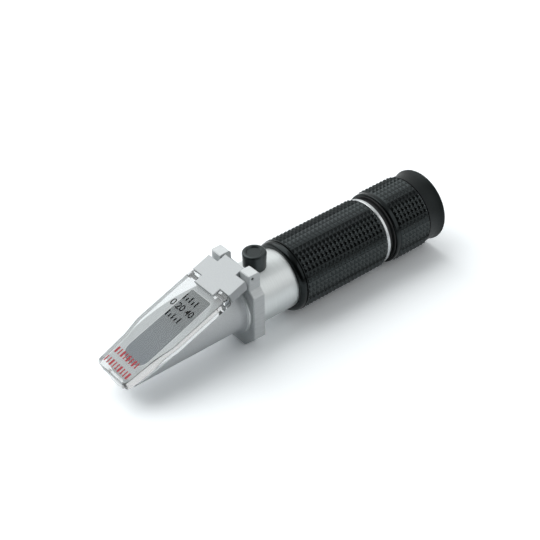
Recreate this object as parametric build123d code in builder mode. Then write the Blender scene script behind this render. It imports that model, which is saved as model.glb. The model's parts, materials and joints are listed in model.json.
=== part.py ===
"""Hand refractometer: body tube with prism nose, hinged daylight lid, calibration screw and eyepiece.

Millimetres. +X runs along the optical axis from the lid to the eyepiece, +Z is up, and the origin is the
centre of the bracket's flat foot, which stands on the bench.
"""
import os
from math import cos, radians, sin, sqrt, tan

from build123d import *

os.makedirs("parts", exist_ok=True)

# Clearances
seat_gap = 0.02          # gap of a fixed seat
running_gap = 0.04       # radial gap of a pin or screw that turns
sliding_gap = 0.05       # radial gap of the sliding lens barrel
soft_gap = 0.15          # gap round the rubber cap, which is pulled off
open_gap = 0.3           # free space between moving pieces that never touch

# Body tube
axis_height = 16.4       # optical axis above the bench
tube_radius = 12.5
tube_wall = 1.3
tube_lip = 1.0           # tube in front of the bracket
tube_edge = 0.3
visible_tube = 18.4      # tube between the bracket and the grip

# Hinge bracket
bracket_thickness = 5.3
bracket_wall = 1.35      # beside the tube
bracket_corner_cut = 6.25
shoulder_height = 9.9    # top of the wide sides, above the optical axis
lug_outer = 11.4
lug_inner = 6.1
lug_over_pin = 1.8       # lug's top above the hinge axis
lug_chamfer = 0.95
bracket_edge = 0.35

# Hinge and hinge block
incline = 20.2           # slope of the lid and of the prism face
hinge_setback = 0.95     # hinge axis in front of the bracket's middle
hinge_over_tube = 5.0    # hinge axis above the tube's top
pin_radius = 0.6
pin_recess = 0.3
block_top = 1.4          # block's upper face above the hinge axis
block_thickness = 4.2
block_front = 14.9       # stub's front edge, ahead of the hinge axis
block_rear = 1.0         # stub's rear edge, behind the hinge axis
block_edge = 0.2
stub_half_width = 5.65
stub_heel = 0.8          # rounding that lets the stub turn over the bracket
wing_half_width = 11.05
wing_front = 11.25
wing_rear = 3.0
wing_cut_height = 2.2    # upright facet under the wings' rear edge

# Daylight plate
lid_drop = 0.35          # plate's upper face below the block's upper face
plate_thickness = 3.9
plate_half_width = 11.4
plate_waist = 9.75       # half width where the narrow front part starts
plate_tip_half_width = 8.95
plate_tip = 62.0         # front edge, ahead of the hinge axis
taper_start = 38.0
taper_end = 48.5
plate_corner = 2.2
plate_edge = 0.4
ear_corner = 1.6
plate_gap = 0.1          # between the plate and the block
tab_half_width = 4.0
tab_depth = 4.9
tab_thickness = 1.6
tab_round = 2.4
tab_blend = 1.4
lid_screw_radius = 0.8
lid_screw_head = 1.4
lid_screw_head_height = 0.9
lid_screw_length = 7.6   # under the head
lid_screw_sink = 0.7     # head below the plate's side
screw_below_top = 1.95   # screw axis below the plate's upper face
screw_ahead = 13.15      # screw axis ahead of the hinge axis

# Prism housing and prism
film_gap = 0.15          # room for the sample film
prism_proud = 0.15
nose_radius = 10.8
nose_reach = 52.4        # nose's front face, ahead of the bracket's front face
nose_round = 1.6
collar_step = 0.2        # collar's rim below the tube's surface
collar_width = 0.9
collar_sweep = 2.4       # hollow curve from the collar to the nose
spigot_length = 7.0
light_bore = 7.6
light_bore_reach = 21.0  # ahead of the tube's front end, short of breaking out beside the prism
window_rear = 17.1       # distances along the slope, ahead of the hinge axis
window_widest = 44.8
window_tip = 53.8
window_rear_half = 5.7
window_wide_half = 6.2
window_tip_round = 5.2
window_rear_round = 0.8
prism_depth = 4.4
seal_width = 0.5
seal_depth = 1.6
baffle_aperture = 4.4
baffle_thickness = 1.0

# Calibration screw and cap
calibration_place = 9.2  # calibration axis behind the bracket's middle
boss_radius = 3.4
boss_foot_radius = 2.6
boss_height = 16.2       # top above the optical axis
screw_radius = 1.5
screw_head_radius = 2.3
screw_head_height = 1.3
screw_sink = 0.2         # head below the boss's top
slot_width = 0.6
slot_depth = 0.7
thread_pitch = 0.5
calibration_turn = 270   # degrees each way
clip_radius = 2.5
clip_thickness = 0.4
cap_radius = 4.8
cap_waist = 4.55
cap_top = 19.0           # above the optical axis
cap_dish_radius = 3.3
cap_dish_depth = 0.5
cap_edge = 0.9

# Adjusting block, bimetal strip and objective
block_wall = 2.1
adjuster_half_width = 3.5
adjuster_half_length = 4.3
strip_thickness = 0.6
strip_half_width = 2.5
strip_reach = 11.5       # strip's free end behind the calibration axis
strip_screw_radius = 0.7
strip_screw_head = 1.2
strip_screw_head_height = 0.5
strip_screw_grip = 0.9   # length in the piece that it holds
strip_screw_spread = 2.9
cell_radius = 8.8
cell_width = 3.6
cell_bore = 5.0
objective_radius = 5.7
objective_edge = 1.2
objective_bulge = 0.7
cell_lip = 1.0

# Grip and end ring
grip_wall = 2.5          # to the tops of the pyramids
grip_length = 45.8
grip_lip = 0.85          # wall at the front edge
grip_band = 3.4          # smooth rounded band in front of the raised pattern
grip_heel = 0.3          # smooth edge behind it
grip_rows = 21           # raised pyramids along the grip
grip_columns = 40        # and round it
pyramid_height = 0.62
pyramid_root = 0.4       # rubber that the pyramids stand on, over the plain sleeve
end_ring_rise = 1.8      # above the tube's surface
end_ring_width = 1.6
end_ring_edge = 0.3

# Reticle
reticle_place = 9.5      # reticle's front face ahead of the end ring
reticle_radius = 8.0
reticle_thickness = 1.2
holder_bore = 7.0
holder_wall = 2.0        # holder in front of the reticle
lock_ring_width = 0.8

# Focus sleeve and lens barrel
neck_wall = 2.9          # sleeve's wall outside the tube
neck_gap = 2.2
shoulder_step = 0.1      # under the end ring, below the tube's surface
sleeve_wall = 0.9        # inside the tube
sleeve_inside = 7.0      # inside the tube
sleeve_outside = 15.0    # behind the end ring
groove_depth = 1.1
groove_place = 8.2       # middle of the groove behind the end ring
groove_turn = 325        # degrees from end to end
focus_lead = 4.0         # travel for one turn
focus_turn = 150         # degrees each way
guide_radius = 0.8
guide_slot = 0.4
keyway_depth = 0.9
keyway_length = 13.0
key_half_width = 0.9
key_length = 6.0
key_seat = 0.6
key_place = 5.0          # key's front end behind the end ring
barrel_start = 4.0       # barrel's front end ahead of the end ring
barrel_wall = 1.2
barrel_stop = 1.05       # lip in front of the field lens
flange_width = 0.8
flange_rise = 1.95       # above the barrel
clip_ring_width = 0.6
clip_ring_rise = 1.15
clip_groove = 0.4

# Lenses
lens_edge = 1.2
field_lens_bulge = 1.3
eye_lens_bulge = 1.6
lens_spacing = 8.0       # edge to edge
spacer_wall = 1.05
eye_ring_width = 1.3
eye_ring_wall = 1.45

# Focus collar and eyepiece rubber
collar_gap = 0.1         # collar over the sleeve
collar_wall = 0.8
collar_lip = 0.7
collar_lip_rise = 0.25   # above the collar
collar_web = 1.3
band_wall = 1.1          # rubber over the collar
eyepiece_band = 2.5
band_edge = 0.35
band_groove = 0.35
knurl_wall = 1.6
knurl_length = 16.0
knurl_rows = 8
knurl_columns = 44
waist_wall = 0.75
waist_place = 4.2        # behind the raised pattern
eyecup_rise = 1.45       # above the collar
eyecup_length = 8.6
eyecup_lip = 1.85        # thickness of the rounded rim
eyecup_depth = 7.0
eyecup_floor_wall = 3.55

# Radii round the optical axis
tube_bore = tube_radius - tube_wall
bracket_half_width = tube_radius + bracket_wall
collar_radius = tube_radius - collar_step
grip_radius = tube_radius + grip_wall
grip_lip_radius = tube_radius + grip_lip
end_ring_radius = tube_radius + end_ring_rise
shoulder_radius = tube_radius - shoulder_step
sleeve_bore = tube_bore - sleeve_wall
neck_radius = sleeve_bore + neck_wall
barrel_radius = sleeve_bore - sliding_gap
lens_seat = barrel_radius - barrel_wall
lens_radius = lens_seat - seat_gap
barrel_stop_bore = lens_seat - barrel_stop
spacer_bore = lens_seat - spacer_wall
eye_ring_bore = lens_seat - eye_ring_wall
flange_radius = barrel_radius + flange_rise
clip_ring_radius = barrel_radius + clip_ring_rise
collar_bore = neck_radius + collar_gap
collar_outside = collar_bore + collar_wall
collar_lip_radius = collar_outside + collar_lip_rise
eyepiece_band_radius = collar_outside + band_wall
knurl_radius = collar_outside + knurl_wall
waist_radius = collar_outside + waist_wall
eyecup_radius = collar_outside + eyecup_rise
eyecup_mouth = eyecup_radius - eyecup_lip
eyecup_floor_radius = eyecup_radius - eyecup_floor_wall

# Places along the optical axis
bracket_front = -bracket_thickness / 2
bracket_rear = bracket_thickness / 2
tube_front = bracket_front - tube_lip
nose_front = bracket_front - nose_reach
spigot_rear = tube_front + spigot_length
grip_front = bracket_rear + visible_tube
ring_front = grip_front + grip_length
ring_rear = ring_front + end_ring_width
sleeve_front = ring_front - sleeve_inside
sleeve_rear = ring_rear + sleeve_outside
eyepiece_front = ring_rear + neck_gap
rubber_front = eyepiece_front + collar_lip
knurl_front = rubber_front + eyepiece_band
knurl_rear = knurl_front + knurl_length
eyecup_rear = knurl_rear + eyecup_length
eyecup_floor = eyecup_rear - eyecup_depth

# Places on the slope, measured up from the hinge axis
hinge_rise = tube_radius + hinge_over_tube
lug_top = hinge_rise + lug_over_pin
hinge_x = -hinge_setback
hinge_z = axis_height + hinge_rise
block_bottom = block_top - block_thickness
plate_top = block_top - lid_drop
plate_bottom = plate_top - plate_thickness
prism_face = plate_bottom - film_gap
rim_face = prism_face - prism_proud
lid_screw_rise = plate_top - screw_below_top

optical_axis = Axis((0, 0, axis_height), (1, 0, 0))
along_slope = Vector(cos(radians(incline)), 0, sin(radians(incline)))
off_slope = Vector(-sin(radians(incline)), 0, cos(radians(incline)))


def profile_plane(x=0.0):
    """Upright plane through the optical axis: local x is +X from a place on it, local y is +Z."""
    return Plane(origin=(x, 0, axis_height), x_dir=(1, 0, 0), z_dir=(0, -1, 0))


def station(x):
    """Plane across the optical axis: local x is +Y, local y is +Z."""
    return Plane(origin=(x, 0, axis_height), x_dir=(0, 1, 0), z_dir=(1, 0, 0))


def level(rise, x=0.0):
    """Horizontal plane at a height above the optical axis."""
    return Plane(origin=(x, 0, axis_height + rise))


def slope(rise):
    """Plane of the lid, at a height above the hinge axis: local x runs up the slope, local y is +Y."""
    return Plane(origin=(hinge_x, 0, hinge_z), x_dir=along_slope, z_dir=off_slope).offset(rise)


def cross_axis(ahead, rise):
    """Plane whose normal is +Y, at a place ahead of the hinge axis and at a height above it."""
    centre = Vector(hinge_x, 0, hinge_z) - along_slope * ahead + off_slope * rise
    return Plane(origin=centre, x_dir=(1, 0, 0), z_dir=(0, 1, 0))


def ring(front, rear, inner, outer):
    """Add a ring round the optical axis to the piece being made."""
    with BuildSketch(station(front)) as section:
        Circle(outer)
        Circle(inner, mode=Mode.SUBTRACT)
    extrude(section.sketch, amount=rear - front)


def bore(front, rear, radius):
    """Cut a round hole along the optical axis."""
    with BuildSketch(station(front)) as section:
        Circle(radius)
    extrude(section.sketch, amount=rear - front, mode=Mode.SUBTRACT)


def post(bottom, top, radius, x=calibration_place, mode=Mode.ADD):
    """Add or cut an upright cylinder between two heights above the optical axis."""
    with BuildSketch(level(bottom, x)) as section:
        Circle(radius)
    extrude(section.sketch, amount=top - bottom, mode=mode)


def turned(*points):
    """Add a turned piece from its half outline: distance along the optical axis, radius."""
    with BuildSketch(profile_plane()) as section:
        with BuildLine():
            Polyline(*points, close=True)
        make_face()
    revolve(section.sketch, axis=optical_axis)


def lens(flat, edge, bulge, radius, curved_radius):
    """Add a lens: flat face, edge of the curved face, rise of the curve, rim radius and the curve's own."""
    outward = 1 if edge > flat else -1
    with BuildSketch(profile_plane()) as section:
        with BuildLine():
            sphere = (curved_radius**2 + bulge**2) / (2 * bulge)
            RadiusArc((edge, curved_radius), (edge + outward * bulge, 0), outward * sphere)
            Polyline(
                (edge + outward * bulge, 0),
                (flat, 0),
                (flat, radius),
                (edge, radius),
                (edge, curved_radius),
            )
        make_face()
    revolve(section.sketch, axis=optical_axis)


def pyramids(front, rear, rows, columns, crest):
    """Add raised pyramids round the optical axis: one row along the axis, then a copy for each column."""
    valley = crest - pyramid_height
    root = valley - pyramid_root
    half = valley * tan(radians(180 / columns))
    pitch = (rear - front) / rows
    teeth = [(front + pitch * (n / 2), crest if n % 2 else valley) for n in range(2 * rows + 1)]
    with BuildPart() as row:
        with BuildSketch(station(front)):
            Polygon(
                (0, crest),
                (half, valley),
                (half * root / valley, root),
                (-half * root / valley, root),
                (-half, valley),
                align=None,
            )
        extrude(amount=rear - front)
        with BuildSketch(profile_plane()):
            with BuildLine():
                Polyline((front, root), *teeth, (rear, root), close=True)
            make_face()
        extrude(amount=half, both=True, mode=Mode.INTERSECT)
    add([row.part.rotate(optical_axis, 360 / columns * n) for n in range(columns)])


def save(piece, name):
    """Label a finished piece and write it under its own name."""
    piece.part.label = name
    export_step(piece.part, f"parts/{name}.step")


# Body tube: drawn aluminium, drilled for the boss of the calibration screw
with BuildPart() as body_tube:
    ring(tube_front, ring_front, tube_bore, tube_radius)
    post(0, tube_radius + 1, boss_foot_radius + seat_gap, mode=Mode.SUBTRACT)
    front_edge = body_tube.faces().sort_by(Axis.X)[0].edges().sort_by(SortBy.RADIUS)[-1]
    chamfer(front_edge, tube_edge)
save(body_tube, "body_tube")

# Hinge bracket: one milled plate with a foot, cut corners and two lugs
foot_half_width = bracket_half_width - bracket_corner_cut
shoulder_rise = bracket_half_width - lug_outer
stub_clearance = block_bottom - open_gap
with BuildPart() as hinge_bracket:
    with BuildSketch(station(bracket_front)):
        with BuildLine():
            Polyline(
                (0, -axis_height),
                (foot_half_width, -axis_height),
                (bracket_half_width, -axis_height + bracket_corner_cut),
                (bracket_half_width, shoulder_height),
                (lug_outer, shoulder_height + shoulder_rise),
                (lug_outer, lug_top),
                (0, lug_top),
                close=True,
            )
        make_face()
        mirror(about=Plane.YZ)
        Circle(tube_radius + seat_gap, mode=Mode.SUBTRACT)
    extrude(amount=bracket_thickness)
    chamfer(hinge_bracket.edges().filter_by(Axis.Y).group_by(Axis.Z)[-1].sort_by(Axis.X)[-1], lug_chamfer)
    chamfer(hinge_bracket.faces().sort_by(Axis.X)[0].outer_wire().edges(), bracket_edge)
    with BuildSketch(slope(stub_clearance)):
        Rectangle(3 * bracket_thickness, 2 * lug_inner)
    extrude(amount=lug_top, mode=Mode.SUBTRACT)
    with BuildSketch(cross_axis(0, 0)):
        Circle(pin_radius + seat_gap)
    extrude(amount=bracket_half_width, both=True, mode=Mode.SUBTRACT)
save(hinge_bracket, "hinge_bracket")

# Hinge pin: ground steel, fixed in the lugs, a little below their sides
with BuildPart() as hinge_pin:
    with BuildSketch(cross_axis(0, 0)):
        Circle(pin_radius)
    extrude(amount=lug_outer - pin_recess, both=True)
save(hinge_pin, "hinge_pin")

# Hinge block: milled cross that turns on the pin and carries the clear plate
facet_rise = block_bottom + wing_cut_height * cos(radians(incline))
facet_x = hinge_x - wing_rear * cos(radians(incline)) - facet_rise * sin(radians(incline))
wing_length = wing_front - wing_rear
wing_span = wing_half_width - stub_half_width
with BuildPart() as hinge_block:
    with BuildSketch(slope(block_bottom)):
        with Locations(((block_rear - block_front) / 2, 0)):
            Rectangle(block_front + block_rear, 2 * stub_half_width)
        with Locations((-wing_rear - wing_length / 2, 0)):
            Rectangle(wing_length, 2 * wing_half_width)
    extrude(amount=block_thickness)
    with BuildSketch(Plane.XY):
        for hand in (-1, 1):
            with Locations((facet_x + wing_rear / 2, hand * (stub_half_width + wing_span / 2))):
                Rectangle(wing_rear, wing_span)
    extrude(amount=2 * hinge_z, mode=Mode.SUBTRACT)
    fillet(hinge_block.edges().filter_by(Axis.Y).sort_by(Axis.X)[-1], stub_heel)
    block_face = hinge_block.faces().sort_by(Axis((0, 0, 0), off_slope))[-1]
    chamfer(block_face.edges(), block_edge)
    with BuildSketch(cross_axis(0, 0)):
        Circle(pin_radius + running_gap)
    extrude(amount=wing_half_width, both=True, mode=Mode.SUBTRACT)
    with BuildSketch(cross_axis(screw_ahead, lid_screw_rise)):
        Circle(lid_screw_radius + seat_gap)
    extrude(amount=wing_half_width, both=True, mode=Mode.SUBTRACT)
save(hinge_block, "hinge_block")

# Daylight plate: clear acrylic, with two ears beside the block's stub and a lift tab in front
ear_rear = -wing_front - plate_gap
plate_rear = -block_front - plate_gap
ear_inner = stub_half_width + plate_gap
narrow_slope = (plate_waist - plate_tip_half_width) / (plate_tip - taper_end)
tab_front = Plane(
    origin=Vector(hinge_x, 0, hinge_z) - along_slope * plate_tip + off_slope * plate_bottom,
    x_dir=(0, 1, 0),
    z_dir=along_slope,
)
with BuildPart() as daylight_plate:
    with BuildSketch(slope(plate_bottom)) as plate_outline:
        with BuildLine():
            Polyline(
                (-plate_tip, 0),
                (plate_rear, 0),
                (plate_rear, ear_inner),
                (ear_rear, ear_inner),
                (ear_rear, plate_half_width),
                (-taper_start, plate_half_width),
            )
            Spline(
                (-taper_start, plate_half_width),
                (-taper_end, plate_waist),
                tangents=((-1, 0), (-1, -narrow_slope)),
            )
            Polyline(
                (-taper_end, plate_waist),
                (-plate_tip, plate_tip_half_width),
                (-plate_tip, 0),
            )
        make_face()
        mirror(about=Plane.XZ)
        fillet(plate_outline.vertices().group_by(Axis.X)[0].sort_by(Axis.Y)[0], plate_corner)
        fillet(plate_outline.vertices().group_by(Axis.X)[0].sort_by(Axis.Y)[-1], plate_corner)
        ear_corners = plate_outline.vertices().group_by(Axis.X)[-1].sort_by(Axis.Y)
        fillet((ear_corners[0], ear_corners[-1]), ear_corner)
    extrude(amount=plate_thickness)
    plate_face = daylight_plate.faces().sort_by(Axis((0, 0, 0), off_slope))[-1]
    fillet(plate_face.edges(), plate_edge)
    with BuildSketch(tab_front):
        with BuildLine():
            blend_edge = tab_half_width + tab_blend
            RadiusArc((blend_edge, 0), (tab_half_width, -tab_blend), -tab_blend)
            Line((tab_half_width, -tab_blend), (tab_half_width, tab_round - tab_depth))
            RadiusArc(
                (tab_half_width, tab_round - tab_depth),
                (tab_half_width - tab_round, -tab_depth),
                tab_round,
            )
            Line((tab_half_width - tab_round, -tab_depth), (0, -tab_depth))
            Line((0, -tab_depth), (0, 0))
            Line((0, 0), (blend_edge, 0))
        make_face()
        mirror(about=Plane.YZ)
    extrude(amount=tab_thickness)
    with BuildSketch(cross_axis(screw_ahead, lid_screw_rise)):
        Circle(lid_screw_radius + seat_gap)
    extrude(amount=2 * plate_half_width, both=True, mode=Mode.SUBTRACT)
    head_seat = plate_half_width - lid_screw_sink - lid_screw_head_height
    for hand in (-1, 1):
        with BuildSketch(cross_axis(screw_ahead, lid_screw_rise).offset(hand * (head_seat - seat_gap))):
            Circle(lid_screw_head + seat_gap)
        extrude(amount=hand * plate_half_width, mode=Mode.SUBTRACT)
save(daylight_plate, "daylight_plate")

# Lid screws: two small screws that go in from the sides, through the ears into the block
with BuildPart() as lid_screws:
    for hand in (-1, 1):
        with BuildSketch(cross_axis(screw_ahead, lid_screw_rise).offset(hand * head_seat)):
            Circle(lid_screw_head)
        extrude(amount=hand * lid_screw_head_height)
        with BuildSketch(cross_axis(screw_ahead, lid_screw_rise).offset(hand * head_seat)):
            Circle(lid_screw_radius)
        extrude(amount=-hand * lid_screw_length)
save(lid_screws, "lid_screws")


def window(rise, margin):
    """Outline of the prism's upper face in a slope plane, widened by a margin."""
    with BuildSketch(slope(rise)) as outline:
        with BuildLine():
            Polyline(
                (-window_rear, -window_rear_half),
                (-window_rear, window_rear_half),
                (-window_widest, window_wide_half),
                (-window_tip, window_wide_half),
                (-window_tip, -window_wide_half),
                (-window_widest, -window_wide_half),
                close=True,
            )
        make_face()
        fillet(outline.vertices().group_by(Axis.X)[0], window_tip_round)
        fillet(outline.vertices().group_by(Axis.X)[-1], window_rear_round)
        if margin > 0:
            offset(amount=margin)
    return outline.sketch


# Prism housing: turned nose with a spigot in the tube, cut by the slope and pocketed for the prism
collar_front = tube_front - collar_width
sweep_front = collar_front - collar_sweep
with BuildPart() as prism_housing:
    with BuildSketch(profile_plane()):
        with BuildLine():
            Line((nose_front, 0), (nose_front, nose_radius - nose_round))
            RadiusArc(
                (nose_front, nose_radius - nose_round),
                (nose_front + nose_round, nose_radius),
                nose_round,
            )
            Line((nose_front + nose_round, nose_radius), (sweep_front, nose_radius))
            TangentArc((sweep_front, nose_radius), (collar_front, collar_radius), tangent=(1, 0))
            Polyline(
                (collar_front, collar_radius),
                (tube_front, collar_radius),
                (tube_front, tube_bore - seat_gap),
                (spigot_rear, tube_bore - seat_gap),
                (spigot_rear, 0),
                (nose_front, 0),
            )
        make_face()
    revolve(axis=optical_axis)
    split(bisect_by=slope(rim_face), keep=Keep.BOTTOM)
    bore(tube_front - light_bore_reach, spigot_rear, light_bore)
    extrude(window(rim_face, seal_width), amount=-seal_depth, mode=Mode.SUBTRACT)
    extrude(window(prism_face, seat_gap), amount=-prism_depth - seat_gap, mode=Mode.SUBTRACT)
save(prism_housing, "prism_housing")

# Prism: optical glass block, its polished face a little proud of the housing's rim
with BuildPart() as prism:
    extrude(window(prism_face, 0), amount=-prism_depth)
save(prism, "prism")

# Prism seal: pale cement frame round the prism
with BuildPart() as prism_seal:
    extrude(window(rim_face, seal_width - seat_gap), amount=seat_gap - seal_depth)
    extrude(window(prism_face, seat_gap), amount=-prism_depth, mode=Mode.SUBTRACT)
save(prism_seal, "prism_seal")

# Light baffle: blackened disc that lies against the housing's spigot
baffle_front = spigot_rear + seat_gap
with BuildPart() as light_baffle:
    ring(baffle_front, baffle_front + baffle_thickness, baffle_aperture, tube_bore - seat_gap)
save(light_baffle, "light_baffle")

# Places of the calibration parts above the optical axis, from the boss downwards
screw_top = boss_height - screw_sink
screw_seat = screw_top - screw_head_height
clip_top = sqrt(tube_bore**2 - boss_foot_radius**2) - open_gap
clip_bottom = clip_top - clip_thickness
travel = thread_pitch * calibration_turn / 360
adjuster_top = clip_bottom - travel - open_gap
adjuster_bottom = adjuster_top - block_wall
strip_top = adjuster_bottom - seat_gap
strip_bottom = strip_top - strip_thickness
screw_bottom = adjuster_bottom + travel + open_gap
strip_front = calibration_place - adjuster_half_length
strip_rear = calibration_place + strip_reach
cell_front = strip_rear - cell_width
strip_screw_places = (
    calibration_place - strip_screw_spread,
    calibration_place + strip_screw_spread,
)
cell_screw_place = strip_rear - cell_width / 2

# Calibration boss: brass bush, its flange cut to sit on the tube and its foot through the tube's wall
with BuildPart() as calibration_boss:
    post(0, boss_height, boss_radius)
    bore(tube_front, ring_front, tube_radius + seat_gap)
    post(clip_top + running_gap, boss_height, boss_foot_radius)
    post(screw_seat - running_gap, boss_height, screw_head_radius + running_gap, mode=Mode.SUBTRACT)
    post(0, boss_height, screw_radius + running_gap, mode=Mode.SUBTRACT)
save(calibration_boss, "calibration_boss")

# Calibration screw: slotted steel screw that turns in the boss and carries the adjusting block
with BuildPart() as calibration_screw:
    post(screw_bottom, screw_seat, screw_radius)
    post(screw_seat, screw_top, screw_head_radius)
    with BuildSketch(level(screw_top, calibration_place)):
        Rectangle(3 * screw_head_radius, slot_width)
    extrude(amount=-slot_depth, mode=Mode.SUBTRACT)
save(calibration_screw, "calibration_screw")

# Screw clip: spring ring under the boss that keeps the screw from rising
with BuildPart() as screw_clip:
    post(clip_bottom, clip_top, clip_radius)
    post(clip_bottom, clip_top, screw_radius + seat_gap, mode=Mode.SUBTRACT)
save(screw_clip, "screw_clip")

# Calibration cap: moulded rubber cap with a shallow dish, pushed over the boss
with BuildPart() as calibration_cap:
    with BuildSketch(profile_plane(calibration_place)):
        with BuildLine():
            Polyline(
                (0, 0),
                (cap_waist, 0),
                (cap_waist, tube_radius),
                (cap_radius, cap_top - cap_edge),
            )
            RadiusArc((cap_radius, cap_top - cap_edge), (cap_radius - cap_edge, cap_top), -cap_edge)
            Polyline(
                (cap_radius - cap_edge, cap_top),
                (cap_dish_radius, cap_top),
                (cap_dish_radius - cap_dish_depth, cap_top - cap_dish_depth),
                (0, cap_top - cap_dish_depth),
                (0, 0),
            )
        make_face()
    revolve(axis=Axis((calibration_place, 0, 0), (0, 0, 1)))
    bore(tube_front, ring_front, tube_radius + soft_gap)
    post(0, boss_height + soft_gap, boss_radius + soft_gap, mode=Mode.SUBTRACT)
save(calibration_cap, "calibration_cap")

# Adjusting block: brass nut on the calibration screw
with BuildPart() as adjusting_block:
    with BuildSketch(level(adjuster_bottom, calibration_place)):
        Rectangle(2 * adjuster_half_length, 2 * adjuster_half_width)
        Circle(screw_radius + running_gap, mode=Mode.SUBTRACT)
    extrude(amount=block_wall)
    for place in strip_screw_places:
        screw_hole = strip_screw_radius + seat_gap
        post(adjuster_bottom, adjuster_bottom + strip_screw_grip + seat_gap, screw_hole, place, Mode.SUBTRACT)
save(adjusting_block, "adjusting_block")

# Bimetal strip: corrects for temperature, fixed under the block, with the objective on its free end
with BuildPart() as bimetal_strip:
    with BuildSketch(level(strip_bottom, (strip_front + strip_rear) / 2)):
        Rectangle(strip_rear - strip_front, 2 * strip_half_width)
    extrude(amount=strip_thickness)
    for place in (*strip_screw_places, cell_screw_place):
        post(strip_bottom, strip_top, strip_screw_radius + seat_gap, place, Mode.SUBTRACT)
save(bimetal_strip, "bimetal_strip")

# Objective cell: turned ring with a flat for the strip's end and a pocket for the lens
cell_flat = strip_bottom - seat_gap
with BuildPart() as objective_cell:
    ring(cell_front, strip_rear, cell_bore, cell_radius)
    bore(cell_front + cell_lip, strip_rear, objective_radius + seat_gap)
    with BuildSketch(level(cell_flat, cell_screw_place)):
        Rectangle(2 * cell_width, 2 * (strip_half_width + seat_gap))
    extrude(amount=cell_radius, mode=Mode.SUBTRACT)
    post(cell_flat - strip_screw_grip, cell_radius, strip_screw_radius + seat_gap, cell_screw_place, Mode.SUBTRACT)
save(objective_cell, "objective_cell")

# Strip screws: two up into the block and one down into the cell
with BuildPart() as strip_screws:
    for place in strip_screw_places:
        post(strip_bottom - strip_screw_head_height, strip_bottom - seat_gap, strip_screw_head, place)
        post(strip_bottom - seat_gap, adjuster_bottom + strip_screw_grip, strip_screw_radius, place)
    post(cell_flat - strip_screw_grip + seat_gap, strip_top + seat_gap, strip_screw_radius, cell_screw_place)
    post(strip_top + seat_gap, strip_top + strip_screw_head_height, strip_screw_head, cell_screw_place)
save(strip_screws, "strip_screws")

# Objective lens: small convex lens against the cell's lip
objective_front = cell_front + cell_lip + seat_gap
objective_rear = objective_front + objective_edge
with BuildPart() as objective_lens:
    lens(objective_rear, objective_front, objective_bulge, objective_radius, cell_bore)
save(objective_lens, "objective_lens")

# Objective ring: holds the lens in its cell
with BuildPart() as objective_ring:
    ring(objective_rear + seat_gap, strip_rear, cell_bore, objective_radius)
save(objective_ring, "objective_ring")

# Rubber grip: sleeve over the tube, with a rounded band at its front and square pyramids behind it
pattern_front = grip_front + grip_band
pattern_rear = ring_front - seat_gap - grip_heel
grip_plain_radius = grip_radius - pyramid_height - pyramid_root / 2
with BuildPart() as rubber_grip:
    with BuildSketch(profile_plane()):
        with BuildLine():
            Line((grip_front, tube_radius + seat_gap), (grip_front, grip_lip_radius))
            TangentArc(
                (pattern_front - pyramid_height, grip_radius),
                (grip_front, grip_lip_radius),
                tangent=(-1, 0),
            )
            Polyline(
                (pattern_front - pyramid_height, grip_radius),
                (pattern_front, grip_radius - pyramid_height),
                (pattern_front, grip_plain_radius),
                (ring_front - seat_gap, grip_plain_radius),
                (ring_front - seat_gap, tube_radius + seat_gap),
                (grip_front, tube_radius + seat_gap),
            )
        make_face()
    revolve(axis=optical_axis)
    pyramids(pattern_front, pattern_rear, grip_rows, grip_columns, grip_radius)
save(rubber_grip, "rubber_grip")

# Grip end ring: bright turned ring on the sleeve's shoulder, behind the grip
with BuildPart() as grip_end_ring:
    ring(ring_front, ring_rear, shoulder_radius + seat_gap, end_ring_radius)
    chamfer(grip_end_ring.edges().filter_by(GeomType.CIRCLE).group_by(SortBy.RADIUS)[-1], end_ring_edge)
save(grip_end_ring, "grip_end_ring")

# Reticle holder, reticle and lock ring: the glass scale in the eyepiece's focus
reticle_front = ring_front - reticle_place
reticle_rear = reticle_front + reticle_thickness
lock_front = reticle_rear + seat_gap
lock_rear = lock_front + lock_ring_width
with BuildPart() as reticle_holder:
    ring(reticle_front - holder_wall, lock_rear, holder_bore, tube_bore - seat_gap)
    bore(reticle_front - seat_gap, lock_rear, reticle_radius + seat_gap)
save(reticle_holder, "reticle_holder")

with BuildPart() as reticle:
    with BuildSketch(station(reticle_front)):
        Circle(reticle_radius)
    extrude(amount=reticle_thickness)
save(reticle, "reticle")

with BuildPart() as reticle_lock_ring:
    ring(lock_front, lock_rear, holder_bore, reticle_radius)
save(reticle_lock_ring, "reticle_lock_ring")

# Focus sleeve: fixed sleeve with a helical groove outside and a keyway inside
groove_centre = ring_rear + groove_place
groove_length = focus_lead * groove_turn / 360
groove_half_width = guide_radius + running_gap
groove_floor = neck_radius - groove_depth
with BuildPart() as focus_sleeve:
    turned(
        (sleeve_front, sleeve_bore),
        (sleeve_front, tube_bore - seat_gap),
        (ring_front, tube_bore - seat_gap),
        (ring_front, shoulder_radius),
        (ring_rear + seat_gap, shoulder_radius),
        (ring_rear + seat_gap, neck_radius),
        (sleeve_rear, neck_radius),
        (sleeve_rear, sleeve_bore),
    )
    with BuildSketch(level(-sleeve_bore - keyway_depth, sleeve_rear - keyway_length / 2)):
        Rectangle(keyway_length, 2 * (key_half_width + running_gap))
    extrude(amount=2 * keyway_depth, mode=Mode.SUBTRACT)
    half_turn = radians(groove_turn / 2)
    groove_start = Plane(
        origin=(groove_centre - groove_length / 2, 0, axis_height),
        x_dir=(0, sin(half_turn), cos(half_turn)),
        z_dir=(1, 0, 0),
    )
    groove_path = groove_start * Edge.make_helix(focus_lead, groove_length, neck_radius)
    with BuildSketch(Plane(origin=groove_path @ 0, x_dir=(1, 0, 0), z_dir=groove_path % 0)):
        Rectangle(2 * groove_half_width, 2 * groove_depth)
    sweep(path=groove_path, is_frenet=True, mode=Mode.SUBTRACT)
save(focus_sleeve, "focus_sleeve")

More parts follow.
